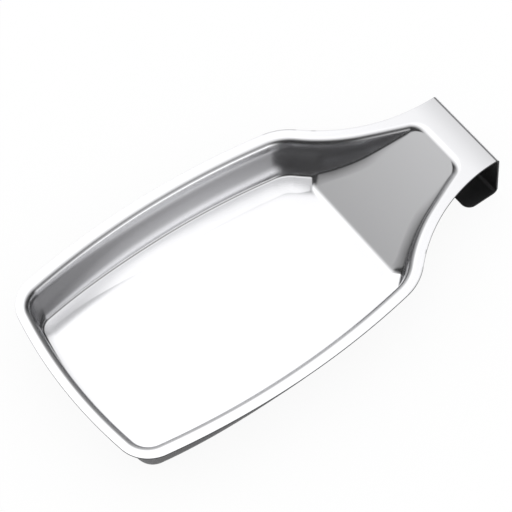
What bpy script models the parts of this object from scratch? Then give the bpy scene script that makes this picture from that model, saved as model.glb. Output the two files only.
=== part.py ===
"""Pill counting tray pressed from one stainless sheet: a flanged pan, a ramped pouring neck, a folded hook.

Metres, +Z up. X runs along the tray from its front edge (-X) to the hook (+X), and Y across it, with the
tray symmetric about Y = 0. Z = 0 is the underside of the hook, the lowest face. The sheet has no seam: it
is divided only at the hook's fold, so that the pan and the hook are two plain solids.
"""

import math
from dataclasses import dataclass, replace

import bmesh
import bpy
from mathutils import Vector

MM = 0.001

# The sheet
SHEET = 0.7 * MM
DIVIDE_GAP = 0.3 * MM

# Plan of the outer edge
LENGTH = 240.8 * MM
WIDTH = 130.0 * MM
WIDEST_FROM_FRONT = 88.0 * MM
FRONT_RADIUS = 252.0 * MM
CORNER_RADIUS = 18.3 * MM
SIDE_RADIUS = 400.0 * MM
SHOULDER_RADIUS = 29.7 * MM
NECK_RADIUS = 90.8 * MM
NECK_FROM_BACK = 4.1 * MM
HOOK_WIDTH = 49.4 * MM

# Plan of the mouth, inside the flange
FLANGE_WIDTH = 4.0 * MM
FRONT_FLANGE_WIDTH = 3.4 * MM
THROAT_FROM_BACK = 41.4 * MM
THROAT_RADIUS = 1000.0 * MM
MOUTH_CORNER_RADIUS = 11.0 * MM

# Pan and neck sections
LIP_RADIUS = 3.6 * MM
LIP_TURN = math.radians(60)
UPPER_RADIUS = 12.0 * MM
WALL_DRAFT = math.radians(4.5)
PAN_DEPTH = 24.3 * MM
LOWER_RADIUS = 24.0 * MM
FOOT_TURN = math.radians(67)
FOOT_RADIUS = 3.2 * MM
EASE_RADIUS = 50.0 * MM
EASE_TURN = math.radians(10)
CORNER_SOFTNESS = 0.4

# Ramp from the pan floor up to the tab
CREASE_FROM_FRONT = 167.7 * MM
CREASE_RADIUS = 8.0 * MM
RAMP_TOP_FROM_BACK = 17.2 * MM
RAMP_LIP_RADIUS = 9.4 * MM

# Hook
HOOK_DEPTH = 28.7 * MM
HOOK_RETURN = 19.2 * MM
FOLD_RADIUS = 2.6 * MM
FOLD_LEAD = 0.5 * MM
HEEL_RADIUS = 3.0 * MM
HOOK_CORNER_RADIUS = 5.0 * MM

# Finish
STEEL_COLOUR = (0.62, 0.62, 0.64, 1)
STEEL_ROUGHNESS = 0.28

# Facets
SECTION_STEPS = 15
ARC_STEPS = {"front": 7, "corner": 8, "side": 9, "shoulder": 12, "neck": 7, "throat": 4, "mouth_corner": 7}
BEND_STEPS = 6
WALL_MEASURE = 1.5
CLEAR_OF_KEPT = 0.5
SOLVE_ROUNDS = 40
SLOPE_ROUNDS = 6
SAME_PLACE = 0.05 * MM

# Places that follow from the sizes above
FRONT_X = -LENGTH / 2
BACK_X = LENGTH / 2
TAB_END_X = BACK_X - FOLD_RADIUS - FOLD_LEAD
CREASE_X = FRONT_X + CREASE_FROM_FRONT
RAMP_TOP_X = BACK_X - RAMP_TOP_FROM_BACK
RAMP_RISE = PAN_DEPTH / (RAMP_TOP_X - CREASE_X)
RAMP_ANGLE = math.atan(RAMP_RISE)
CREASE_REACH = CREASE_RADIUS * math.tan(RAMP_ANGLE / 2)
MOUTH_END_X = RAMP_TOP_X + RAMP_LIP_RADIUS * math.tan(RAMP_ANGLE / 2)
NECK_CENTRE = Vector((BACK_X - NECK_FROM_BACK, HOOK_WIDTH / 2 + NECK_RADIUS))


@dataclass(frozen=True)
class Arc:
    """A stretch of the mouth's plan, with a side of 1 where the pan lies towards the centre, else -1."""

    name: str
    centre: Vector
    radius: float
    start: float
    end: float
    side: int

    def at(self, t):
        """The mouth point and the direction into the pan, a fraction t of the way along."""
        angle = self.start + (self.end - self.start) * t
        outward = Vector((math.cos(angle), math.sin(angle)))
        return self.centre + self.radius * outward, -self.side * outward


def circles_meet(first, first_radius, second, second_radius):
    """The two points where circles about two centres cross."""
    apart = second - first
    along = (first_radius**2 - second_radius**2 + apart.length_squared) / (2 * apart.length)
    across = math.sqrt(first_radius**2 - along**2)
    foot = first + apart.normalized() * along
    step = Vector((-apart.y, apart.x)).normalized() * across
    return foot + step, foot - step


def heading(start, end):
    return math.atan2(end.y - start.y, end.x - start.x)


def neck_angle(x):
    """The angle on the neck's arc of the outer edge at a place along X."""
    return -math.acos((x - NECK_CENTRE.x) / NECK_RADIUS)


def outline(inset, front_inset):
    """A line inside the outer edge for Y > 0, from the middle of the front edge to the start of the throat."""
    front = Vector((FRONT_X + FRONT_RADIUS, 0))
    side = Vector((FRONT_X + WIDEST_FROM_FRONT, WIDTH / 2 - SIDE_RADIUS))
    front_radius = FRONT_RADIUS - front_inset
    corner_radius = CORNER_RADIUS - inset
    side_radius = SIDE_RADIUS - inset
    shoulder_radius = SHOULDER_RADIUS - inset
    neck_radius = NECK_RADIUS + inset
    corner = max(
        circles_meet(front, front_radius - corner_radius, side, side_radius - corner_radius),
        key=lambda point: point.y - point.x,
    )
    shoulder = min(
        circles_meet(side, side_radius - shoulder_radius, NECK_CENTRE, neck_radius + shoulder_radius),
        key=lambda point: point.x,
    )
    front_end = heading(front, corner)
    side_start = heading(side, corner)
    side_end = heading(side, shoulder)
    shoulder_end = heading(shoulder, NECK_CENTRE)
    neck_start = heading(NECK_CENTRE, shoulder)
    throat_start = neck_angle(BACK_X - THROAT_FROM_BACK)
    return [
        Arc("front", front, front_radius, math.pi, front_end, 1),
        Arc("corner", corner, corner_radius, front_end, side_start, 1),
        Arc("side", side, side_radius, side_start, side_end, 1),
        Arc("shoulder", shoulder, shoulder_radius, side_end, shoulder_end, 1),
        Arc("neck", NECK_CENTRE, neck_radius, neck_start, throat_start, -1),
    ]


def mouth_arcs():
    """The mouth of the pan for Y > 0, whose throat runs on nearly straight where the flange widens."""
    arcs = outline(FLANGE_WIDTH, FRONT_FLANGE_WIDTH)
    leave, inward = arcs[-1].at(1)
    throat = leave - inward * THROAT_RADIUS
    end_x = MOUTH_END_X - MOUTH_CORNER_RADIUS
    reach = THROAT_RADIUS + MOUTH_CORNER_RADIUS
    end = Vector((end_x, throat.y - math.sqrt(reach**2 - (end_x - throat.x) ** 2)))
    throat_end = heading(throat, end)
    arcs.append(Arc("throat", throat, THROAT_RADIUS, heading(throat, leave), throat_end, -1))
    arcs.append(Arc("mouth_corner", end, MOUTH_CORNER_RADIUS, throat_end + math.pi, 0, 1))
    return arcs


def edge_arcs(mouth):
    """The outer edge for Y > 0, an arc for each of the mouth's, the last along the tab's side."""
    arcs = outline(0, 0)
    corner_start = heading(NECK_CENTRE, mouth[-1].at(0)[0])
    arcs.append(Arc("throat", NECK_CENTRE, NECK_RADIUS, arcs[-1].end, corner_start, -1))
    arcs.append(Arc("mouth_corner", NECK_CENTRE, NECK_RADIUS, corner_start, neck_angle(TAB_END_X), -1))
    return arcs


def eased(value, low, high):
    """0 below low, 1 above high and a smooth climb between them."""
    t = min(max((value - low) / (high - low), 0), 1)
    return t * t * (3 - 2 * t)


def floor_depth(x):
    """Depth below the flange of the pan floor, the rounded crease and the ramp."""
    if x <= CREASE_X - CREASE_REACH:
        return PAN_DEPTH
    if x >= CREASE_X + CREASE_REACH * math.cos(RAMP_ANGLE):
        return PAN_DEPTH - (x - CREASE_X) * RAMP_RISE
    past = x - (CREASE_X - CREASE_REACH)
    return PAN_DEPTH - CREASE_RADIUS + math.sqrt(CREASE_RADIUS**2 - past**2)


def floor_slope(x):
    """Fall of the floor for each step along +X, 0 on the flat and negative on the ramp."""
    past = x - (CREASE_X - CREASE_REACH)
    turn = math.asin(min(max(past / CREASE_RADIUS, 0), math.sin(RAMP_ANGLE)))
    return -math.tan(turn)


@dataclass(frozen=True)
class Section:
    """The wall's section at one place: a lip that turns down, a straight drafted wall and a foot that turns out."""

    lip: float
    upper: float
    lower: float
    foot: float
    ease: float
    steepest: float
    wall: float
    last: float

    def end(self):
        """How far in, and how deep, the foot meets the floor."""
        reach = self.wall * math.cos(self.steepest)
        depth = self.wall * math.sin(self.steepest)
        lip_end = min(self.steepest, LIP_TURN)
        foot_start = max(self.last, min(self.steepest, FOOT_TURN))
        ease_start = max(self.last, min(self.steepest, EASE_TURN))
        bends = (
            (self.lip, lip_end, 0),
            (self.upper, self.steepest, lip_end),
            (self.lower, self.steepest, foot_start),
            (self.foot, foot_start, ease_start),
            (self.ease, ease_start, self.last),
        )
        for radius, steep, shallow in bends:
            reach += radius * (math.sin(steep) - math.sin(shallow))
            depth += radius * (math.cos(shallow) - math.cos(steep))
        return reach, depth

    def points(self, steps):
        """The section as (reach, depth) pairs, evenly spread over its turns and its straight wall."""
        wall_share = WALL_MEASURE * self.wall / PAN_DEPTH
        foot_turn = self.steepest - self.last
        total = self.steepest + wall_share + foot_turn
        found = []
        for step in range(steps + 1):
            along = total * step / steps
            turned = min(along, self.steepest)
            down = min(max(along - self.steepest, 0), wall_share)
            back = max(along - self.steepest - wall_share, 0)
            wall = self.wall * down / wall_share if wall_share > 0 else 0
            found.append(replace(self, steepest=turned, wall=wall, last=turned - back).end())
        return found


def rounds_at(name, t):
    """A section's radii. The wide ones have less room at the front and its corners, and none at the neck's end."""
    lip, foot, soft = LIP_RADIUS, FOOT_RADIUS, 1
    if name in ("front", "corner"):
        soft = CORNER_SOFTNESS
    elif name == "side":
        soft = CORNER_SOFTNESS + (1 - CORNER_SOFTNESS) * eased(t, 0, 0.15)
    elif name == "throat":
        soft = 1 - eased(t, 0, 1)
    elif name == "mouth_corner":
        soft = 0
        lip += (RAMP_LIP_RADIUS - lip) * eased(t, 0, 1)
    upper = lip + (UPPER_RADIUS - lip) * soft
    lower = foot + (LOWER_RADIUS - foot) * soft
    return lip, upper, lower, foot, foot + (EASE_RADIUS - foot) * soft


def wall_section(mouth, inward, rounds):
    """The section at a mouth point, as steep and as tall as it must be to reach the floor."""
    upright = math.pi / 2 - WALL_DRAFT
    section = Section(*rounds, upright, 0, 0)
    for _ in range(SLOPE_ROUNDS):
        end_x = mouth.x + section.end()[0] * inward.x
        last = math.atan(max(floor_slope(end_x) * inward.x, 0))
        low, high = 0.0, 2.0
        for _ in range(SOLVE_ROUNDS):
            middle = (low + high) / 2
            steepest = last + (upright - last) * min(middle, 1)
            section = Section(*rounds, steepest, max(middle - 1, 0) * PAN_DEPTH, last)
            reach, depth = section.end()
            if depth < floor_depth(mouth.x + reach * inward.x):
                low = middle
            else:
                high = middle
    return section


@dataclass(frozen=True)
class Station:
    """One place round the mouth: the flange's edge in plan and the section from the lip to the floor."""

    edge: Vector
    points: list


def station_at(arc, edge_arc, t):
    """The station a fraction t of the way along an arc of the mouth and the edge's arc that goes with it."""
    mouth, inward = arc.at(t)
    section = wall_section(mouth, inward, rounds_at(arc.name, t))
    points = []
    for reach, depth in section.points(SECTION_STEPS):
        place = mouth + inward * reach
        points.append(Vector((place.x, place.y, HOOK_DEPTH - depth)))
    return Station(edge_arc.at(t)[0], points)


def crease_places(arcs, edges):
    """Where the wall's foot meets each line of the crease, as an arc's index plus the fraction along it."""
    first = [arc.name for arc in arcs].index("shoulder")
    lines = [CREASE_X - CREASE_REACH, CREASE_X, CREASE_X + CREASE_REACH]
    places = []
    for line in lines:
        low, high = first, first + 2
        for _ in range(SOLVE_ROUNDS):
            middle = (low + high) / 2
            index = min(int(middle), first + 1)
            if station_at(arcs[index], edges[index], middle - index).points[-1].x < line:
                low = middle
            else:
                high = middle
        places.append(middle)
    return places


def half_stations():
    """The stations for Y >= 0 from the middle of the front edge to the middle of the neck's end."""
    arcs = mouth_arcs()
    edges = edge_arcs(arcs)
    side = [arc.name for arc in arcs].index("side")
    widest = side + (math.pi / 2 - edges[side].start) / (edges[side].end - edges[side].start)
    kept = [widest, *crease_places(arcs, edges)]
    places = [0.0]
    for index, arc in enumerate(arcs):
        steps = ARC_STEPS[arc.name]
        near = CLEAR_OF_KEPT / steps
        for step in range(1, steps + 1):
            place = index + step / steps
            if step == steps or all(abs(place - other) > near for other in kept):
                places.append(place)
    places = sorted(places + kept)
    stations = []
    for place in places:
        index = min(int(place), len(arcs) - 1)
        stations.append(station_at(arcs[index], edges[index], place - index))
    last = stations[-1]
    centre_points = [Vector((point.x, 0, point.z)) for point in last.points]
    stations.append(Station(Vector((last.edge.x, 0)), centre_points))
    return stations


def pan_surface():
    """The upper face of half the pan: flange and tab, walls, floor, crease and ramp."""
    mesh = bmesh.new()
    stations = half_stations()
    rows = []
    for station in stations:
        edge = mesh.verts.new((station.edge.x, station.edge.y, HOOK_DEPTH))
        rows.append([edge] + [mesh.verts.new(point) for point in station.points])
    for row, following in zip(rows, rows[1:]):
        for outer in range(len(row) - 1):
            mesh.faces.new((row[outer + 1], following[outer + 1], following[outer], row[outer]))

    flat_end = CREASE_X - CREASE_REACH + SAME_PLACE
    ramp_start = CREASE_X + CREASE_REACH - SAME_PLACE
    feet = [row[-1] for row in rows]
    floor = [foot for foot in feet if foot.co.x < flat_end]
    crease = [foot for foot in feet[len(floor) - 1 :] if foot.co.x < ramp_start]
    ramp = feet[len(floor) - 1 + len(crease) :]
    crease.append(ramp[0])
    middles = [mesh.verts.new((foot.co.x, 0, foot.co.z)) for foot in crease]
    mesh.faces.new([middles[0], *reversed(floor)])
    for index in range(len(crease) - 1):
        mesh.faces.new((middles[index], middles[index + 1], crease[index + 1], crease[index]))
    mesh.faces.new([middles[-1], *reversed(ramp)])
    return mesh


def stainless(name):
    """Bright rolled stainless steel."""
    material = bpy.data.materials.new(name)
    material.use_nodes = True
    shader = material.node_tree.nodes["Principled BSDF"]
    shader.inputs["Base Color"].default_value = STEEL_COLOUR
    shader.inputs["Metallic"].default_value = 1
    shader.inputs["Roughness"].default_value = STEEL_ROUGHNESS
    return material


def add_object(name, mesh, collection, material):
    """Puts a bmesh in the collection as a named object with its material."""
    data = bpy.data.meshes.new(name)
    mesh.to_mesh(data)
    mesh.free()
    data.shade_smooth()
    data.materials.append(material)
    piece = bpy.data.objects.new(name, data)
    collection.objects.link(piece)
    return piece


def add_sheet(piece):
    """Gives a surface the sheet's thickness on the side away from its faces."""
    solidify = piece.modifiers.new("sheet", "SOLIDIFY")
    solidify.thickness = SHEET
    solidify.offset = -1
    solidify.use_even_offset = True
    solidify.use_quality_normals = True


def build_pan(collection):
    """The pan, its flange and the flat tab, up to the hook's fold."""
    piece = add_object("tray_pan", pan_surface(), collection, stainless("pan_stainless"))
    mirror = piece.modifiers.new("other_half", "MIRROR")
    mirror.use_axis = (False, True, False)
    mirror.use_clip = True
    mirror.merge_threshold = SAME_PLACE
    add_sheet(piece)
    return piece


def add_bend(piece, name, vertices, radius, affect):
    """Rounds a fold line, or the corners of a free edge, to a radius."""
    group = piece.vertex_groups.new(name=name)
    group.add(vertices, 1, "REPLACE")
    bevel = piece.modifiers.new(name, "BEVEL")
    bevel.affect = affect
    bevel.limit_method = "VGROUP"
    bevel.vertex_group = name
    bevel.offset_type = "OFFSET"
    bevel.width = radius
    bevel.segments = BEND_STEPS
    bevel.use_clamp_overlap = False


def build_hook(collection):
    """The sheet past the fold: a short lead, the upright back and the return leg under the tab."""
    start = Vector((TAB_END_X + DIVIDE_GAP, 0, HOOK_DEPTH))
    fold = Vector((BACK_X, 0, HOOK_DEPTH))
    heel = Vector((BACK_X, 0, 0))
    tip = Vector((BACK_X - HOOK_RETURN, 0, 0))
    across = Vector((0, HOOK_WIDTH / 2, 0))
    mesh = bmesh.new()
    ends = [mesh.verts.new(start - across), mesh.verts.new(start + across)]
    edge = mesh.edges.new(ends)
    for here, there in ((start, fold), (fold, heel), (heel, tip)):
        extruded = bmesh.ops.extrude_edge_only(mesh, edges=[edge])["geom"]
        moved = [item for item in extruded if isinstance(item, bmesh.types.BMVert)]
        bmesh.ops.translate(mesh, verts=moved, vec=there - here)
        edge = next(item for item in extruded if isinstance(item, bmesh.types.BMEdge))
    mesh.normal_update()
    mesh.faces.ensure_lookup_table()
    if mesh.faces[0].normal.z < 0:
        bmesh.ops.reverse_faces(mesh, faces=mesh.faces[:])
    piece = add_object("hanging_hook", mesh, collection, stainless("hook_stainless"))
    rows = {}
    for vertex in piece.data.vertices:
        for name, corner in (("fold", fold), ("heel", heel), ("tip", tip)):
            if math.dist(vertex.co.xz, corner.xz) < SAME_PLACE:
                rows.setdefault(name, []).append(vertex.index)
    add_bend(piece, "fold", rows["fold"], FOLD_RADIUS, "EDGES")
    add_bend(piece, "heel", rows["heel"], HEEL_RADIUS, "EDGES")
    add_bend(piece, "tip", rows["tip"], HOOK_CORNER_RADIUS, "VERTICES")
    add_sheet(piece)
    return piece


def main():
    for item in list(bpy.data.objects):
        bpy.data.objects.remove(item)
    collection = bpy.data.collections.new("pill_counting_tray")
    bpy.context.scene.collection.children.link(collection)
    build_pan(collection)
    build_hook(collection)


main()
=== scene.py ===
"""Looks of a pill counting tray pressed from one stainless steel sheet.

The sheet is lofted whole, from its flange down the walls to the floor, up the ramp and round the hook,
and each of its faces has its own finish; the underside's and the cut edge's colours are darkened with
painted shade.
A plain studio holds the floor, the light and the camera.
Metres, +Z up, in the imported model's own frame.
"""

import logging
import math
from collections.abc import Iterable, Mapping
from dataclasses import dataclass, field, replace
from enum import Enum, IntEnum
from typing import TypeAlias

import bmesh
import bpy
from mathutils import Matrix, Vector


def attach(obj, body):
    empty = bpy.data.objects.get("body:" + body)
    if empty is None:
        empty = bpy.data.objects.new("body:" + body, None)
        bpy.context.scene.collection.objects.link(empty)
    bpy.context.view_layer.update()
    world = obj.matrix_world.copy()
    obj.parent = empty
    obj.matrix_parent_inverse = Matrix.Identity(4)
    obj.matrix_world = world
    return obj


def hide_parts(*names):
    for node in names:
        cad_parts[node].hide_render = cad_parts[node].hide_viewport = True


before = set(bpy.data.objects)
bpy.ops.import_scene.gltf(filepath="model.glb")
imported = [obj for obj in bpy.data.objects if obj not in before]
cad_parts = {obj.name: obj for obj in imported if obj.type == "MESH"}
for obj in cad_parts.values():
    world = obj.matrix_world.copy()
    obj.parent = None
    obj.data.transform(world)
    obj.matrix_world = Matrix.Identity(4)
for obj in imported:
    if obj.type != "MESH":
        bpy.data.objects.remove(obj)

LOG = logging.getLogger("counting_tray")
MM = 0.001
BODY = "root"
PRESSED = "pressed"
NOISE_MIDDLE = 0.5


class Node(Enum):
    """The solids that the sheet stands for."""

    PAN = "tray_pan"
    HOOK = "hanging_hook"


class Slot(Enum):
    """The record's material slots."""

    SHEET = "stainless_sheet"


class Face(IntEnum):
    """The sheet's faces, in the order of its material slots."""

    TOP = 0
    UNDER = 1
    CUT = 2


class Stretch(Enum):
    """The stretches of the mouth's plan, from the middle of the front edge to the end of the neck."""

    FRONT = "front"
    CORNER = "corner"
    SIDE = "side"
    SHOULDER = "shoulder"
    NECK = "neck"
    THROAT = "throat"
    MOUTH_CORNER = "mouth_corner"


STRETCH_STEPS: dict[Stretch, int] = {
    Stretch.FRONT: 16,
    Stretch.CORNER: 26,
    Stretch.SIDE: 30,
    Stretch.SHOULDER: 32,
    Stretch.NECK: 24,
    Stretch.THROAT: 16,
    Stretch.MOUTH_CORNER: 22,
}


Value: TypeAlias = "Socket | float | tuple[float, ...] | Vector"


class Socket:
    """A node's output, on which Python's operators add Math nodes."""

    def __init__(self, bench: "Bench", output: bpy.types.NodeSocket) -> None:
        """Wraps an output of a node on a bench."""
        self.bench = bench
        self.output = output

    def _math(self, operation: str, left: Value, right: Value) -> "Socket":
        """Adds a Math node that joins two values."""
        return self.bench.node("ShaderNodeMath", {"operation": operation}, {0: left, 1: right})

    def __add__(self, other: Value) -> "Socket":
        """The sum."""
        return self._math("ADD", self, other)

    def __radd__(self, other: Value) -> "Socket":
        """The sum, with the number first."""
        return self._math("ADD", other, self)

    def __sub__(self, other: Value) -> "Socket":
        """The difference."""
        return self._math("SUBTRACT", self, other)

    def __rsub__(self, other: Value) -> "Socket":
        """The difference, with the number first."""
        return self._math("SUBTRACT", other, self)

    def __mul__(self, other: Value) -> "Socket":
        """The product."""
        return self._math("MULTIPLY", self, other)

    def __rmul__(self, other: Value) -> "Socket":
        """The product, with the number first."""
        return self._math("MULTIPLY", other, self)

    def __or__(self, other: Value) -> "Socket":
        """The larger of the two."""
        return self._math("MAXIMUM", self, other)

    def __ror__(self, other: Value) -> "Socket":
        """The larger of the two, with the number first."""
        return self._math("MAXIMUM", other, self)

    def angle(self) -> "Socket":
        """The angle in radians whose cosine this is."""
        return self._math("ARCCOSINE", self, 0.0)

    def eased(self, low: float, high: float) -> "Socket":
        """0 at low, 1 at high, with a smooth climb between them.

        Args:
            low: The value that gives 0.
            high: The value that gives 1, which may be the smaller of the two.

        Returns:
            The eased value.
        """
        settings = {"interpolation_type": "SMOOTHSTEP"}
        return self.bench.node("ShaderNodeMapRange", settings, {0: self, 1: low, 2: high, 3: 0.0, 4: 1.0})


class Bench:
    """Adds nodes to the tree of one material or of the world."""

    def __init__(self, tree: bpy.types.NodeTree) -> None:
        """Clears the tree."""
        self.tree = tree
        tree.nodes.clear()

    def node(
        self,
        kind: str,
        settings: Mapping[str, object] | None = None,
        sockets: Mapping[int | str, Value] | None = None,
        output: int | str = 0,
    ) -> Socket:
        """Adds a node.

        Args:
            kind: The node's type.
            settings: Its own settings, such as a Math node's operation, which are set first.
            sockets: The value or link of each input, by name or number.
            output: The output to hand back, by name or number.

        Returns:
            That output.
        """
        made = self.tree.nodes.new(kind)
        for name, value in (settings or {}).items():
            setattr(made, name, value)
        for name, value in (sockets or {}).items():
            if isinstance(value, Socket):
                self.tree.links.new(value.output, made.inputs[name])
            else:
                made.inputs[name].default_value = value
        return Socket(self, made.outputs[output]) if made.outputs else Socket(self, None)

    def dot(self, first: Value, second: Value) -> Socket:
        """The dot product of two vectors."""
        settings = {"operation": "DOT_PRODUCT"}
        return self.node("ShaderNodeVectorMath", settings, {0: first, 1: second}, "Value")

    def noise(self, place: Value, scale: float, layers: float = 0.0) -> Socket:
        """Noise from 0 to 1.

        Args:
            place: The point that it is read at.
            scale: Waves in each metre.
            layers: Finer layers on top of the first.

        Returns:
            The noise.
        """
        sockets = {"Vector": place, "Scale": scale, "Detail": layers}
        return self.node("ShaderNodeTexNoise", None, sockets, "Fac")

    def stretched(self, place: Value, scale: tuple[float, float, float]) -> Socket:
        """A point scaled along each axis."""
        return self.node("ShaderNodeMapping", None, {"Vector": place, "Scale": scale})

    def tint(self, share: Value, first: tuple[float, ...], second: tuple[float, ...]) -> Socket:
        """A colour between two others."""
        return self.node("ShaderNodeMix", {"data_type": "RGBA"}, {0: share, 6: first, 7: second}, 2)


@dataclass(frozen=True)
class SteelFinish:
    """A finish of the rolled sheet: its grain runs along X, and cloudy patches change its polish."""

    name: str
    colour: tuple[float, float, float, float]
    clouded: tuple[float, float, float, float]
    roughness: float
    wall_roughness: float
    cloud_roughness: float
    grain_roughness: float
    grain_height: float
    ripple_height: float
    grain_length: float = 9.0 * MM
    grain_width: float = 0.16 * MM
    cloud_size: float = 34.0 * MM
    ripple_size: float = 26.0 * MM
    noise_layers: float = 3.0
    pressed: tuple[float, float] = (0.003, 0.06)

    def make(self) -> bpy.types.Material:
        """Builds the material.

        Returns:
            The material.
        """
        material = bpy.data.materials.new(self.name)
        material.use_nodes = True
        bench = Bench(material.node_tree)
        place = bench.node("ShaderNodeTexCoord", None, None, "Object")
        along = (1 / self.grain_length, 1 / self.grain_width, 1 / self.grain_width)
        grain = bench.noise(bench.stretched(place, along), 1.0, self.noise_layers)
        cloud = bench.noise(place, 1 / self.cloud_size, self.noise_layers)
        ripple = bench.noise(place, 1 / self.ripple_size)
        height = grain * self.grain_height + ripple * self.ripple_height
        bump = bench.node("ShaderNodeBump", None, {"Strength": 1.0, "Distance": 1.0, "Height": height})
        turned = bench.node("ShaderNodeAttribute", {"attribute_name": PRESSED}, None, "Fac")
        rough = self.roughness + turned.eased(*self.pressed) * (self.wall_roughness - self.roughness)
        rough = rough + (cloud - NOISE_MIDDLE) * self.cloud_roughness
        rough = rough + (grain - NOISE_MIDDLE) * self.grain_roughness
        sockets = {
            "Base Color": bench.tint(cloud, self.colour, self.clouded),
            "Metallic": 1.0,
            "Roughness": rough,
            "Normal": bump,
        }
        steel = bench.node("ShaderNodeBsdfPrincipled", None, sockets)
        bench.node("ShaderNodeOutputMaterial", None, {"Surface": steel})
        return material


SATIN_TOP = SteelFinish(
    name="satin_top",
    colour=(0.86, 0.86, 0.875, 1.0),
    clouded=(0.83, 0.83, 0.848, 1.0),
    roughness=0.17,
    wall_roughness=0.22,
    cloud_roughness=0.04,
    grain_roughness=0.04,
    grain_height=0.0004 * MM,
    ripple_height=0.004 * MM,
)
# The mill finish's higher roughness is real, but its colour is painted shade: darkened far below steel's
# own tone so that the pan's underside and the hook's inside read as dark as the shadowed surroundings they
# reflect.
MILL_UNDERSIDE_PAINTED_SHADE = SteelFinish(
    name="mill_underside_painted_shade",
    colour=(0.20, 0.20, 0.204, 1.0),
    clouded=(0.17, 0.17, 0.174, 1.0),
    roughness=0.36,
    wall_roughness=0.32,
    cloud_roughness=0.10,
    grain_roughness=0.08,
    grain_height=0.001 * MM,
    ripple_height=0.004 * MM,
)
# The cut edge's colour is painted shade: near black, standing for the dark surroundings that the edge
# reflects, which draws a dark outline round the rim.
CUT_EDGE_PAINTED_SHADE = SteelFinish(
    name="cut_edge_painted_shade",
    colour=(0.06, 0.06, 0.061, 1.0),
    clouded=(0.045, 0.045, 0.046, 1.0),
    roughness=0.30,
    wall_roughness=0.30,
    cloud_roughness=0.12,
    grain_roughness=0.16,
    grain_height=0.002 * MM,
    ripple_height=0.0,
    grain_length=1.2 * MM,
    cloud_size=6.0 * MM,
)


@dataclass(frozen=True)
class Arc:
    """A stretch of the mouth's plan, with a side of 1 where the pan lies towards the centre, else -1."""

    stretch: Stretch
    centre: Vector
    radius: float
    start: float
    end: float
    side: int

    def at(self, share: float) -> tuple[Vector, Vector]:
        """A place on the arc.

        Args:
            share: How far along the arc, from 0 to 1.

        Returns:
            The mouth's point in plan and the direction into the pan.
        """
        angle = self.start + (self.end - self.start) * share
        outward = Vector((math.cos(angle), math.sin(angle)))
        return self.centre + self.radius * outward, -self.side * outward


def circles_meet(
    first: Vector, first_radius: float, second: Vector, second_radius: float
) -> tuple[Vector, Vector]:
    """The two points where circles cross.

    Args:
        first: One circle's centre.
        first_radius: Its radius.
        second: The other's centre.
        second_radius: Its radius.

    Returns:
        Both points.
    """
    apart = second - first
    along = (first_radius**2 - second_radius**2 + apart.length_squared) / (2 * apart.length)
    across = math.sqrt(first_radius**2 - along**2)
    foot = first + apart.normalized() * along
    step = Vector((-apart.y, apart.x)).normalized() * across
    return foot + step, foot - step


def heading(start: Vector, end: Vector) -> float:
    """The angle of the line from one point in plan to another."""
    return math.atan2(end.y - start.y, end.x - start.x)


def eased(value: float, low: float, high: float) -> float:
    """0 below low, 1 above high and a smooth climb between them."""
    share = min(max((value - low) / (high - low), 0), 1)
    return share * share * (3 - 2 * share)


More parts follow.
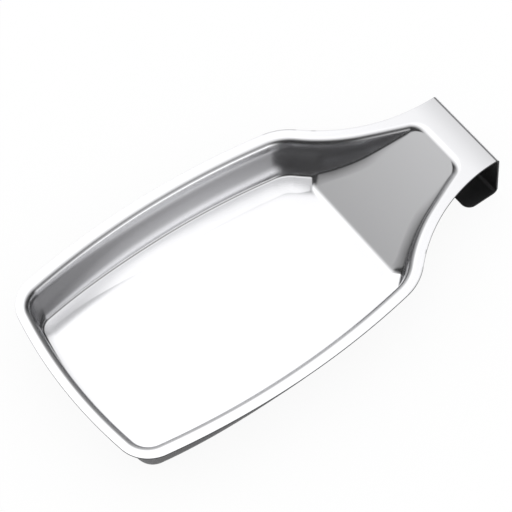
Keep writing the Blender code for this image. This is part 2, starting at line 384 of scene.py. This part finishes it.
@dataclass(frozen=True)
class Plan:
    """The outer edge's plan, from above."""

    length: float = 240.8 * MM
    width: float = 130.0 * MM
    widest_from_front: float = 88.0 * MM
    front_radius: float = 252.0 * MM
    corner_radius: float = 18.3 * MM
    side_radius: float = 400.0 * MM
    shoulder_radius: float = 29.7 * MM
    neck_radius: float = 90.8 * MM
    neck_from_back: float = 4.1 * MM
    hook_width: float = 49.4 * MM
    flange_width: float = 4.0 * MM
    front_flange_width: float = 3.4 * MM
    throat_from_back: float = 41.4 * MM
    throat_radius: float = 1000.0 * MM
    mouth_corner_radius: float = 11.0 * MM

    @property
    def front_x(self) -> float:
        """Where the front edge's middle is."""
        return -self.length / 2

    @property
    def back_x(self) -> float:
        """Where the hook's outer face is."""
        return self.length / 2

    @property
    def neck_centre(self) -> Vector:
        """The centre of the arc that narrows the neck."""
        return Vector((self.back_x - self.neck_from_back, self.hook_width / 2 + self.neck_radius))

    def neck_side(self, x: float) -> float:
        """The angle on the neck's arc of the outer edge at a place along X."""
        return -math.acos((x - self.neck_centre.x) / self.neck_radius)

    def outline(self, inset: float, front_inset: float) -> list[Arc]:
        """A line round the tray for Y > 0, inside the outer edge.

        Args:
            inset: How far inside it lies along the sides.
            front_inset: How far inside it lies along the front.

        Returns:
            Its arcs, from the middle of the front edge to where the throat starts.
        """
        front = Vector((self.front_x + self.front_radius, 0))
        side = Vector((self.front_x + self.widest_from_front, self.width / 2 - self.side_radius))
        neck = self.neck_centre
        front_radius = self.front_radius - front_inset
        corner_radius = self.corner_radius - inset
        side_radius = self.side_radius - inset
        shoulder_radius = self.shoulder_radius - inset
        neck_radius = self.neck_radius + inset
        corner = max(
            circles_meet(front, front_radius - corner_radius, side, side_radius - corner_radius),
            key=lambda point: point.y - point.x,
        )
        shoulder = min(
            circles_meet(side, side_radius - shoulder_radius, neck, neck_radius + shoulder_radius),
            key=lambda point: point.x,
        )
        front_end = heading(front, corner)
        side_start = heading(side, corner)
        side_end = heading(side, shoulder)
        return [
            Arc(Stretch.FRONT, front, front_radius, math.pi, front_end, 1),
            Arc(Stretch.CORNER, corner, corner_radius, front_end, side_start, 1),
            Arc(Stretch.SIDE, side, side_radius, side_start, side_end, 1),
            Arc(Stretch.SHOULDER, shoulder, shoulder_radius, side_end, heading(shoulder, neck), 1),
            Arc(Stretch.NECK, neck, neck_radius, heading(neck, shoulder), self.throat_start, -1),
        ]

    @property
    def throat_start(self) -> float:
        """The angle on the neck's arc where the mouth leaves it for the nearly straight throat."""
        return self.neck_side(self.back_x - self.throat_from_back)

    def mouth(self, mouth_end_x: float) -> list[Arc]:
        """The mouth's arcs.

        Args:
            mouth_end_x: Where the mouth crosses the middle at the neck's end.

        Returns:
            The arcs for Y > 0, from the middle of the front edge.
        """
        arcs = self.outline(self.flange_width, self.front_flange_width)
        leave, inward = arcs[-1].at(1)
        throat = leave - inward * self.throat_radius
        radius = self.mouth_corner_radius
        end_x = mouth_end_x - radius
        end_y = throat.y - math.sqrt((self.throat_radius + radius) ** 2 - (end_x - throat.x) ** 2)
        end = Vector((end_x, end_y))
        throat_end = heading(throat, end)
        arcs.append(Arc(Stretch.THROAT, throat, self.throat_radius, heading(throat, leave), throat_end, -1))
        arcs.append(Arc(Stretch.MOUTH_CORNER, end, radius, throat_end + math.pi, 0, 1))
        return arcs

    def edge(self, mouth: list[Arc], tab_end_x: float) -> list[Arc]:
        """The outer edge's arcs, one for each of the mouth's, the last along the tab's side.

        Args:
            mouth: The mouth's arcs.
            tab_end_x: Where the tab ends.

        Returns:
            The arcs, whose shares go with the mouth's.
        """
        arcs = self.outline(0, 0)
        neck, radius = self.neck_centre, self.neck_radius
        corner_start = heading(neck, mouth[-1].at(0)[0])
        arcs.append(Arc(Stretch.THROAT, neck, radius, self.throat_start, corner_start, -1))
        arcs.append(Arc(Stretch.MOUTH_CORNER, neck, radius, corner_start, self.neck_side(tab_end_x), -1))
        return arcs


@dataclass(frozen=True)
class FloorRun:
    """The run of the floor along X: flat, then a rounded crease, then the ramp up to the tab."""

    depth: float = 24.3 * MM
    crease_x: float = 47.3 * MM
    crease_radius: float = 8.0 * MM
    ramp_top_x: float = 103.2 * MM
    ramp_lip_radius: float = 9.4 * MM
    tab_slope: float = 0.06
    tab_bend_radius: float = 200.0 * MM

    @property
    def rise(self) -> float:
        """How much the ramp climbs for each step along X."""
        return self.depth / (self.ramp_top_x - self.crease_x)

    @property
    def angle(self) -> float:
        """The ramp's slope."""
        return math.atan(self.rise)

    @property
    def crease_reach(self) -> float:
        """How far the crease's round runs to either side of its line."""
        return self.crease_radius * math.tan(self.angle / 2)

    @property
    def mouth_end_x(self) -> float:
        """Where the ramp's lip meets the tab."""
        return self.ramp_top_x + self.ramp_lip_radius * math.tan(self.angle / 2)

    def tab_drop(self, x: float) -> float:
        """How far the tab has fallen below the flange.

        Args:
            x: The place along X.

        Returns:
            The drop, which is 0 as far as the ramp's lip.
        """
        past = max(x - self.mouth_end_x, 0)
        bend_length = self.tab_bend_radius * self.tab_slope
        if past < bend_length:
            return past**2 / (2 * self.tab_bend_radius)
        return bend_length * self.tab_slope / 2 + (past - bend_length) * self.tab_slope

    def depth_at(self, x: float) -> float:
        """How deep the floor lies below the flange.

        Args:
            x: The place along X.

        Returns:
            The depth.
        """
        if x <= self.crease_x - self.crease_reach:
            return self.depth
        if x >= self.crease_x + self.crease_reach * math.cos(self.angle):
            return self.depth - (x - self.crease_x) * self.rise
        past = x - (self.crease_x - self.crease_reach)
        return self.depth - self.crease_radius + math.sqrt(self.crease_radius**2 - past**2)

    def fall_at(self, x: float) -> float:
        """How much the floor falls for each step along X.

        Args:
            x: The place along X.

        Returns:
            The fall, which is negative on the ramp.
        """
        past = x - (self.crease_x - self.crease_reach)
        turn = math.asin(min(max(past / self.crease_radius, 0), math.sin(self.angle)))
        return -math.tan(turn)


@dataclass(frozen=True)
class Rounds:
    """The radii down a wall's section: its lip, its two curves, the foot and its ease into the floor."""

    lip: float
    upper: float
    lower: float
    foot: float
    ease: float


@dataclass(frozen=True)
class Turns:
    """The slopes in a wall's section: where the lip ends, where the foot starts, and its ease's turn."""

    lip: float = math.radians(60)
    foot: float = math.radians(67)
    ease: float = math.radians(10)


@dataclass(frozen=True)
class Section:
    """The wall's section at one place: lip, upper curve, straight, lower curve, foot and ease."""

    rounds: Rounds
    turns: Turns
    steepest: float
    wall: float
    last: float

    def end(self) -> tuple[float, float]:
        """Where the foot meets the floor.

        Returns:
            How far in from the mouth, and how deep.
        """
        reach = self.wall * math.cos(self.steepest)
        depth = self.wall * math.sin(self.steepest)
        lip_end = min(self.steepest, self.turns.lip)
        foot_start = max(self.last, min(self.steepest, self.turns.foot))
        ease_start = max(self.last, min(self.steepest, self.turns.ease))
        bends = (
            (self.rounds.lip, lip_end, 0.0),
            (self.rounds.upper, self.steepest, lip_end),
            (self.rounds.lower, self.steepest, foot_start),
            (self.rounds.foot, foot_start, ease_start),
            (self.rounds.ease, ease_start, self.last),
        )
        for radius, steep, shallow in bends:
            reach += radius * (math.sin(steep) - math.sin(shallow))
            depth += radius * (math.cos(shallow) - math.cos(steep))
        return reach, depth

    def points(self, steps: int, wall_share: float) -> list[tuple[float, float]]:
        """Points down the section.

        Args:
            steps: How many steps it is cut into.
            wall_share: The straight wall's part of the steps, measured as a turn.

        Returns:
            The reach and depth of each point, spread evenly over its turns and its straight wall.
        """
        total = self.steepest + wall_share + self.steepest - self.last
        found = []
        for step in range(steps + 1):
            along = total * step / steps
            turned = min(along, self.steepest)
            down = min(max(along - self.steepest, 0), wall_share)
            back = max(along - self.steepest - wall_share, 0)
            wall = self.wall * down / wall_share if wall_share > 0 else 0
            found.append(replace(self, steepest=turned, wall=wall, last=turned - back).end())
        return found


@dataclass(frozen=True)
class Wall:
    """The walls between the flange and the floor."""

    lip_radius: float = 3.6 * MM
    upper_radius: float = 12.0 * MM
    draft: float = math.radians(4.5)
    lower_radius: float = 24.0 * MM
    foot_radius: float = 2.0 * MM
    ease_radius: float = 50.0 * MM
    neck_ease_radius: float = 25.0 * MM
    corner_softness: float = 0.4
    corner_fade: float = 0.5
    turns: Turns = Turns()
    solve_rounds: int = 40
    slope_rounds: int = 6

    def rounds(self, stretch: Stretch, share: float, ramp_lip_radius: float) -> Rounds:
        """The radii at a place. The wide ones shrink at the front and its corners and go at the neck's end.

        Args:
            stretch: The stretch of the mouth.
            share: How far along it, from 0 to 1.
            ramp_lip_radius: The lip's radius at the end of the neck.

        Returns:
            The radii.
        """
        lip, foot, ease, soft = self.lip_radius, self.foot_radius, self.ease_radius, 1.0
        if stretch in (Stretch.FRONT, Stretch.CORNER):
            soft = self.corner_softness
        elif stretch is Stretch.SIDE:
            soft = self.corner_softness + (1 - self.corner_softness) * eased(share, 0, self.corner_fade)
        elif stretch is Stretch.NECK:
            ease += (self.neck_ease_radius - ease) * eased(share, 0, self.corner_fade)
        elif stretch is Stretch.THROAT:
            ease = self.neck_ease_radius
            soft = 1 - eased(share, 0, 1)
        elif stretch is Stretch.MOUTH_CORNER:
            soft = 0.0
            lip += (ramp_lip_radius - lip) * eased(share, 0, 1)
        upper = lip + (self.upper_radius - lip) * soft
        lower = foot + (self.lower_radius - foot) * soft
        return Rounds(lip, upper, lower, foot, foot + (ease - foot) * soft)

    def section(self, mouth: Vector, inward: Vector, floor: FloorRun, rounds: Rounds) -> Section:
        """The section at a point of the mouth, as steep and as tall as it must be to reach the floor.

        Args:
            mouth: The point in plan.
            inward: The direction into the pan there.
            floor: The floor that its foot has to meet.
            rounds: The section's radii.

        Returns:
            The section.
        """
        upright = math.pi / 2 - self.draft
        section = Section(rounds, self.turns, upright, 0, 0)
        for _ in range(self.slope_rounds):
            end_x = mouth.x + section.end()[0] * inward.x
            last = math.atan(max(floor.fall_at(end_x) * inward.x, 0))
            turns = replace(self.turns, ease=last + self.turns.ease)
            # Up to 1 the wall grows steeper, and from there to 2 its straight grows longer.
            low, high = 0.0, 2.0
            for _ in range(self.solve_rounds):
                middle = (low + high) / 2
                steepest = last + (upright - last) * min(middle, 1)
                wall = max(middle - 1, 0) * floor.depth
                section = Section(rounds, turns, steepest, wall, last)
                reach, depth = section.end()
                if depth < floor.depth_at(mouth.x + reach * inward.x):
                    low = middle
                else:
                    high = middle
        return section


@dataclass(frozen=True)
class Bend:
    """A bend of the sheet, by the radius of its outer face."""

    radius: float
    angle: float
    steps: int


@dataclass(frozen=True)
class Hook:
    """The end of the sheet past the tab: a fold, an upright back, a heel and a return leg."""

    depth: float = 28.7 * MM
    leg: float = 19.2 * MM
    tip_radius: float = 5.0 * MM
    tip_steps: int = 10
    fold_radius: float = 2.6 * MM
    fold_steps: int = 18
    heel: tuple[Bend, ...] = (Bend(3.0 * MM, math.radians(90), 16),)

    def fold(self, turned: float) -> tuple[Bend, ...]:
        """The bends from a tab that already slopes by some angle to the upright back."""
        return (Bend(self.fold_radius, math.pi / 2 - turned, self.fold_steps),)

    @staticmethod
    def reach(bends: Iterable[Bend], turned: float = 0.0) -> tuple[float, float]:
        """How far bends carry the sheet.

        Args:
            bends: The bends, in order.
            turned: How far below level the sheet points before them.

        Returns:
            How far on, and how far down.
        """
        on = down = 0.0
        for bend in bends:
            on += bend.radius * (math.sin(turned + bend.angle) - math.sin(turned))
            down += bend.radius * (math.cos(turned) - math.cos(turned + bend.angle))
            turned += bend.angle
        return on, down


class Workpiece:
    """One mesh that is shaped in edit mode, with its vertices picked by number."""

    def __init__(self, name: str, ring: list[Vector]) -> None:
        """Starts from a circle whose vertices are moved onto a closed ring of points.

        Args:
            name: The piece's name.
            ring: The points.
        """
        if bpy.context.mode != "OBJECT":
            bpy.ops.object.mode_set(mode="OBJECT")
        bpy.ops.object.select_all(action="DESELECT")
        radius = max(point.length for point in ring)
        bpy.ops.mesh.primitive_circle_add(vertices=len(ring), radius=radius, location=(0, 0, 0))
        self.piece: bpy.types.Object = bpy.context.active_object
        self.piece.name = name
        self.piece.data.name = name
        for vertex, place in zip(self.piece.data.vertices, ring, strict=True):
            vertex.co = place
        bpy.ops.object.mode_set(mode="EDIT")
        bpy.ops.mesh.select_mode(type="VERT")

    @property
    def mesh(self) -> bmesh.types.BMesh:
        """The mesh that is being edited.

        Returns:
            The mesh, with its vertices numbered.
        """
        mesh = bmesh.from_edit_mesh(self.piece.data)
        mesh.verts.index_update()
        mesh.verts.ensure_lookup_table()
        return mesh

    def pick(self, numbers: Iterable[int]) -> None:
        """Selects some vertices and what lies between them, and nothing else.

        Args:
            numbers: The vertices.
        """
        bpy.ops.mesh.select_all(action="DESELECT")
        mesh = self.mesh
        for number in numbers:
            mesh.verts[number].select_set(True)
        mesh.select_flush(True)
        bmesh.update_edit_mesh(self.piece.data)

    def picked(self) -> list[int]:
        """The numbers of the selected vertices."""
        return [vertex.index for vertex in self.mesh.verts if vertex.select]

    def extrude_to(self, numbers: list[int], places: list[Vector]) -> list[int]:
        """Extrudes the edges along a run of vertices.

        Args:
            numbers: The vertices, in order.
            places: Where each one's new vertex goes.

        Returns:
            The new vertices, in the same order.
        """
        self.pick(numbers)
        before = len(self.mesh.verts)
        bpy.ops.mesh.extrude_edges_move()
        mesh = self.mesh
        made = []
        for number, place in zip(numbers, places, strict=True):
            old = mesh.verts[number]
            ends = [edge.other_vert(old) for edge in old.link_edges]
            new = next(end for end in ends if end.index >= before)
            new.co = place
            made.append(new.index)
        bmesh.update_edit_mesh(self.piece.data)
        return made

    def join(self, numbers: Iterable[int]) -> None:
        """Joins two vertices with an edge, or more with a face."""
        self.pick(numbers)
        bpy.ops.mesh.edge_face_add()

    def inset(self, numbers: Iterable[int], margin: float) -> None:
        """Insets the face between some vertices, so that its middle shades flat."""
        self.pick(numbers)
        bpy.ops.mesh.inset(thickness=margin, depth=0)

    def apply(self, kind: str, settings: Mapping[str, object]) -> None:
        """Adds a modifier and applies it.

        Args:
            kind: The modifier's type.
            settings: Its settings.
        """
        modifier = self.piece.modifiers.new(kind.lower(), kind)
        for name, value in settings.items():
            setattr(modifier, name, value)
        bpy.ops.object.modifier_apply(modifier=modifier.name)


@dataclass(frozen=True)
class Station:
    """One place round the mouth: the sheet's outer edge and the points from there down to the floor."""

    edge: Vector
    points: list[Vector]

    def mirrored(self) -> "Station":
        """The same place on the other side of the tray."""
        flip = Vector((1, -1, 1))
        return Station(self.edge * flip, [point * flip for point in self.points])


@dataclass
class TraySheet:
    """The pressed sheet, from the flange to the hook."""

    name: str = "tray_sheet"
    thickness: float = 1.0 * MM
    cut_rounding: float = 0.13 * MM
    cut_rounding_steps: int = 2
    cut_angle: float = math.radians(60)
    flat_margin: float = 0.6 * MM
    flange_rows: int = 4
    section_steps: int = 38
    wall_measure: float = 1.0
    clear_of_crease: float = 0.5
    crease_lines: int = 7
    smooth_angle: float = math.radians(38)
    area_weight: int = 80
    same_place: float = 0.02 * MM
    plan: Plan = field(default_factory=Plan)
    floor: FloorRun = field(default_factory=FloorRun)
    wall: Wall = field(default_factory=Wall)
    hook: Hook = field(default_factory=Hook)

    @property
    def tab_end_x(self) -> float:
        """Where the flat tab ends and the fold starts."""
        slope = math.atan(self.floor.tab_slope)
        return self.plan.back_x - self.hook.reach(self.hook.fold(slope), slope)[0]

    def station(self, arc: Arc, edge_arc: Arc, share: float) -> Station:
        """The station on an arc. Round the neck's end the flange widens into the tab.

        Args:
            arc: The arc of the mouth.
            edge_arc: The arc of the outer edge that goes with it.
            share: How far along them, from 0 to 1.

        Returns:
            The station.
        """
        mouth, inward = arc.at(share)
        edge, _ = edge_arc.at(share)
        rounds = self.wall.rounds(arc.stretch, share, self.floor.ramp_lip_radius)
        section = self.wall.section(mouth, inward, self.floor, rounds)
        top = self.hook.depth
        margin = mouth - inward * self.flat_margin
        points = []
        for row in range(1, self.flange_rows + 1):
            place = edge.lerp(margin, row / self.flange_rows)
            points.append(Vector((place.x, place.y, top - self.floor.tab_drop(place.x))))
        wall_share = self.wall_measure * section.wall / self.floor.depth
        for reach, depth in section.points(self.section_steps, wall_share):
            place = mouth + inward * reach
            points.append(Vector((place.x, place.y, top - depth)))
        return Station(Vector((edge.x, edge.y, top - self.floor.tab_drop(edge.x))), points)

    def stations(self) -> list[Station]:
        """The stations all round the mouth.

        Returns:
            The stations, from the middle of the front edge and back to it.
        """
        arcs = self.plan.mouth(self.floor.mouth_end_x)
        edges = self.plan.edge(arcs, self.tab_end_x)
        creases = self._crease_places(arcs, edges)
        places = [0.0]
        for index, arc in enumerate(arcs):
            steps = STRETCH_STEPS[arc.stretch]
            near = self.clear_of_crease / steps
            for step in range(1, steps + 1):
                place = index + step / steps
                if step == steps or all(abs(place - crease) > near for crease in creases):
                    places.append(place)
        half = []
        for place in sorted(places + creases):
            index = min(int(place), len(arcs) - 1)
            half.append(self.station(arcs[index], edges[index], place - index))
        last = half[-1]
        flat = Vector((1, 0, 1))
        half.append(Station(last.edge * flat, [point * flat for point in last.points]))
        return half + [station.mirrored() for station in reversed(half[1:-1])]

    def _crease_places(self, arcs: list[Arc], edges: list[Arc]) -> list[float]:
        """Where the wall's foot meets each line of the crease.

        Args:
            arcs: The mouth's arcs.
            edges: The outer edge's arcs.

        Returns:
            Each place, as an arc's index plus the share along that arc.
        """
        first = [arc.stretch for arc in arcs].index(Stretch.SHOULDER)
        reach = self.floor.crease_reach
        places = []
        for line in range(self.crease_lines):
            x = self.floor.crease_x - reach + 2 * reach * line / (self.crease_lines - 1)
            low, high = float(first), float(first + 2)
            for _ in range(self.wall.solve_rounds):
                middle = (low + high) / 2
                index = min(int(middle), first + 1)
                if self.station(arcs[index], edges[index], middle - index).points[-1].x < x:
                    low = middle
                else:
                    high = middle
            places.append(middle)
        return places

    def build(self) -> bpy.types.Object:
        """Models the sheet.

        Returns:
            The piece.
        """
        stations = self.stations()
        work = Workpiece(self.name, [station.edge for station in stations])
        ring = list(range(len(stations)))
        for level in range(len(stations[0].points)):
            ring = work.extrude_to(ring, [station.points[level] for station in stations])
        self._fold_hook(work, len(stations) // 2)
        self._fill_floor(work, ring, [station.points[-1].x for station in stations])
        self._thicken(work)
        return work.piece

    def _fold_hook(self, work: Workpiece, middle: int) -> None:
        """Extrudes and bends the tab's end into the hook, and rounds the corners of its free edge.

        Args:
            work: The sheet.
            middle: The number of the vertex in the middle of the tab's end.
        """
        work.pick([middle - 1, middle, middle + 1])
        slope = math.atan(self.floor.tab_slope)
        place = Vector((self.tab_end_x, 0, self.hook.depth - self.floor.tab_drop(self.tab_end_x)))
        place, turned = self._bend(place, slope, self.hook.fold(slope))
        heel_on, heel_down = self.hook.reach(self.hook.heel)
        drop = place.z - heel_on
        bpy.ops.mesh.extrude_edges_move(TRANSFORM_OT_translate={"value": (0, 0, -drop)})
        place.z -= drop
        place, turned = self._bend(place, turned, self.hook.heel)
        leg = self.hook.leg - heel_down
        bpy.ops.mesh.extrude_edges_move(TRANSFORM_OT_translate={"value": (-leg, 0, 0)})
        ends = work.picked()
        mesh = work.mesh
        corners = [number for number in ends if abs(mesh.verts[number].co.y) > self.same_place]
        work.pick(corners)
        bpy.ops.mesh.bevel(
            offset=self.hook.tip_radius,
            segments=self.hook.tip_steps,
            affect="VERTICES",
            clamp_overlap=False,
        )

    @staticmethod
    def _bend(place: Vector, turned: float, bends: Iterable[Bend]) -> tuple[Vector, float]:
        """Spins the selected edge through some bends.

        Args:
            place: The middle of the edge, on the sheet's outer face.
            turned: How far below level the sheet points there.
            bends: The bends.

        Returns:
            The middle of the new edge and how far below level the sheet points there.
        """
        for bend in bends:
            inner = Vector((-math.sin(turned), 0, -math.cos(turned)))
            centre = place + inner * bend.radius
            bpy.ops.mesh.spin(steps=bend.steps, angle=bend.angle, center=centre, axis=(0, -1, 0))
            turned += bend.angle
            place = centre - Vector((-math.sin(turned), 0, -math.cos(turned))) * bend.radius
        return place, turned

    def _fill_floor(self, work: Workpiece, ring: list[int], reach: list[float]) -> None:
        """Closes the ring of the walls' feet with the floor, the crease and the ramp.

        Args:
            work: The sheet.
            ring: The vertices of the feet, from the middle of the front and back to it.
            reach: How far along X each of them lies.
        """
        middle = len(ring) // 2
        flat_end = self.floor.crease_x - self.floor.crease_reach + self.same_place
        ramp_start = self.floor.crease_x + self.floor.crease_reach - self.same_place
        first = max(index for index in range(middle + 1) if reach[index] < flat_end)
        last = min(index for index in range(middle + 1) if reach[index] > ramp_start)
        for index in range(first, last + 1):
            work.join([ring[index], ring[-index]])
        for index in range(first, last):
            work.join([ring[index], ring[index + 1], ring[-index - 1], ring[-index]])
        flat = ring[: first + 1] + ring[-first:]
        ramp = ring[last : len(ring) - last + 1]
        work.join(flat)
        work.join(ramp)
        work.inset(flat, self.flat_margin)
        work.inset(ramp, self.flat_margin)

    def _thicken(self, work: Workpiece) -> None:
        """Turns the faces up, gives the sheet its thickness and softens its cut edges.

        Args:
            work: The sheet.
        """
        bpy.ops.mesh.select_all(action="SELECT")
        bpy.ops.mesh.remove_doubles(threshold=self.same_place)
        bpy.ops.mesh.normals_make_consistent(inside=False)
        largest = max(work.mesh.faces, key=lambda face: face.calc_area())
        if largest.normal.z < 0:
            bpy.ops.mesh.flip_normals()
        bpy.ops.object.mode_set(mode="OBJECT")
        for _ in Face:
            work.piece.data.materials.append(None)
        work.apply(
            "SOLIDIFY",
            {
                "thickness": self.thickness,
                "offset": -1,
                "use_even_offset": True,
                "use_quality_normals": True,
                "material_offset": Face.UNDER,
                "material_offset_rim": Face.CUT,
            },
        )
        work.apply(
            "BEVEL",
            {
                "width": self.cut_rounding,
                "segments": self.cut_rounding_steps,
                "limit_method": "ANGLE",
                "angle_limit": self.cut_angle,
            },
        )
        bpy.ops.object.shade_smooth_by_angle(angle=self.smooth_angle)
        weighting = {"mode": "FACE_AREA", "weight": self.area_weight, "keep_sharp": True}
        work.apply("WEIGHTED_NORMAL", weighting)
        self._mark_pressed(work.piece.data)

    def _mark_pressed(self, mesh: bpy.types.Mesh) -> None:
        """Writes at each vertex how far the sheet is turned out of the floor's and the ramp's planes.

        Args:
            mesh: The sheet's mesh.
        """
        ramp = Vector((-math.sin(self.floor.angle), 0, math.cos(self.floor.angle)))
        turned = [1 - max(abs(vertex.normal.z), abs(vertex.normal.dot(ramp))) for vertex in mesh.vertices]
        mesh.attributes.new(PRESSED, "FLOAT", "POINT").data.foreach_set("value", turned)

    def dress(self, piece: bpy.types.Object) -> None:
        """Gives each face its finish, with painted shade in the underside's and the cut edge's colours, and
        sets the sheet on the frame.

        Args:
            piece: The sheet.
        """
        # The underside's and the cut edge's materials carry painted shade in their colours.
        for face, finish in ((Face.TOP, SATIN_TOP), (Face.UNDER, MILL_UNDERSIDE_PAINTED_SHADE), (Face.CUT, CUT_EDGE_PAINTED_SHADE)):
            piece.data.materials[face] = finish.make()
        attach(piece, BODY)
        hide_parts(*(node.value for node in Node))


@dataclass(frozen=True)
class Spot:
    """A soft round panel of light that hides what is behind it. Its angles are in degrees."""

    azimuth: float
    elevation: float
    full: float
    gone: float
    level: float

    def over(self, bench: Bench, direction: Socket, light: Socket | float) -> Socket:
        """Hides some of the light behind the panel.

        Args:
            bench: The world's nodes.
            direction: The direction looked in.
            light: The light behind the panel.

        Returns:
            The light with the panel in front.
        """
        turn, rise = math.radians(self.azimuth), math.radians(self.elevation)
        middle = (math.cos(turn) * math.cos(rise), math.sin(turn) * math.cos(rise), math.sin(rise))
        off = bench.dot(direction, middle).angle()
        return light + off.eased(math.radians(self.gone), math.radians(self.full)) * (self.level - light)


@dataclass
class Studio:
    """A pale floor under a dark room with soft panels, and the photograph's camera."""

    floor_size: float = 8.0
    floor_below: float = 0.1 * MM
    white: tuple[float, float, float, float] = (1.0, 1.0, 1.0, 1.0)
    floor_glow: float = 0.92
    mirrored_glow: float = 0.1
    ambient: float = 1.0
    backdrop: float = 1.0
    room: float = 0.03
    ceiling: Spot = Spot(10.0, 84.0, 6.0, 50.0, 0.95)
    right_panel: Spot = Spot(68.0, 14.0, 8.0, 60.0, 0.5)
    left_panel: Spot = Spot(-75.0, 40.0, 0.0, 17.0, 0.62)
    low_panel: Spot = Spot(-82.0, 8.0, 4.0, 34.0, 1.5)
    key: Spot = Spot(78.0, 60.0, 0.0, 43.0, 1.42)
    target: tuple[float, float, float] = (-7.07 * MM, 2.75 * MM, 28.7 * MM)
    look_heading: float = math.radians(30.763)
    look_elevation: float = math.radians(57.259)
    look_roll: float = math.radians(-6.0)
    look_distance: float = 1034.4 * MM
    lens: float = 151.9

    @staticmethod
    def _looked_at(bench: Bench) -> Socket:
        """1 for the rays that the camera sends out, and 0 for others."""
        return bench.node("ShaderNodeLightPath", None, None, "Is Camera Ray")

    @staticmethod
    def _mirrored(bench: Bench) -> Socket:
        """1 for the rays that a mirror or a glass sends on, and 0 for others."""
        glossy = bench.node("ShaderNodeLightPath", None, None, "Is Glossy Ray")
        return glossy | bench.node("ShaderNodeLightPath", None, None, "Is Transmission Ray")

    def build_floor(self) -> bpy.types.Object:
        """Lays the floor.

        Returns:
            The floor.
        """
        bpy.ops.object.select_all(action="DESELECT")
        bpy.ops.mesh.primitive_plane_add(size=self.floor_size, location=(0, 0, -self.floor_below))
        floor = bpy.context.active_object
        floor.name = "studio_floor"
        material = bpy.data.materials.new("studio_floor")
        material.use_nodes = True
        bench = Bench(material.node_tree)
        paint = bench.node("ShaderNodeBsdfDiffuse", None, {"Color": self.white})
        glow = bench.node("ShaderNodeEmission", None, {"Color": self.white, "Strength": 1.0})
        share = self._looked_at(bench) * self.floor_glow | self._mirrored(bench) * self.mirrored_glow
        both = bench.node("ShaderNodeMixShader", None, {0: share, 1: paint, 2: glow})
        bench.node("ShaderNodeOutputMaterial", None, {"Surface": both})
        floor.data.materials.append(material)
        return floor

    def build_light(self) -> bpy.types.World:
        """Lights the studio.

        Returns:
            The world.
        """
        world = bpy.data.worlds.new("studio")
        world.use_nodes = True
        bench = Bench(world.node_tree)
        direction = bench.node("ShaderNodeTexCoord", None, None, "Generated")
        light: Socket | float = self.room
        for spot in (self.ceiling, self.right_panel, self.left_panel, self.low_panel, self.key):
            light = spot.over(bench, direction, light)
        panels = bench.node("ShaderNodeBackground", None, {"Color": self.white, "Strength": light})
        soft = bench.node("ShaderNodeBackground", None, {"Color": self.white, "Strength": self.ambient})
        behind = bench.node("ShaderNodeBackground", None, {"Color": self.white, "Strength": self.backdrop})
        lit = bench.node("ShaderNodeMixShader", None, {0: self._mirrored(bench), 1: soft, 2: panels})
        both = bench.node("ShaderNodeMixShader", None, {0: self._looked_at(bench), 1: lit, 2: behind})
        bench.node("ShaderNodeOutputWorld", None, {"Surface": both})
        bpy.context.scene.world = world
        return world

    def build_camera(self) -> bpy.types.Object:
        """Sets the camera at the photograph's place.

        Returns:
            The camera.
        """
        level = Vector((math.sin(self.look_heading), math.cos(self.look_heading), 0))
        ahead = level * math.cos(self.look_elevation) - Vector((0, 0, math.sin(self.look_elevation)))
        data = bpy.data.cameras.new("photo_camera")
        data.lens = self.lens
        camera = bpy.data.objects.new("photo_camera", data)
        bpy.context.scene.collection.objects.link(camera)
        turn = ahead.to_track_quat("-Z", "Y").to_matrix() @ Matrix.Rotation(self.look_roll, 3, "Z")
        place = Matrix.Translation(Vector(self.target) - ahead * self.look_distance)
        camera.matrix_world = place @ turn.to_4x4()
        bpy.context.scene.camera = camera
        return camera


def main() -> None:
    """Builds the tray and the studio."""
    logging.basicConfig(level=logging.INFO, format="%(message)s")
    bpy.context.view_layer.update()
    scene = bpy.context.scene
    scene.view_settings.view_transform = "Standard"

    sheet = TraySheet()
    piece = sheet.build()
    sheet.dress(piece)
    LOG.info("%s: %d vertices, %d faces", piece.name, len(piece.data.vertices), len(piece.data.polygons))

    studio = Studio()
    for item in (studio.build_floor(), studio.build_light(), studio.build_camera()):
        LOG.info("%s", item.name)


if __name__ == "__main__":
    main()
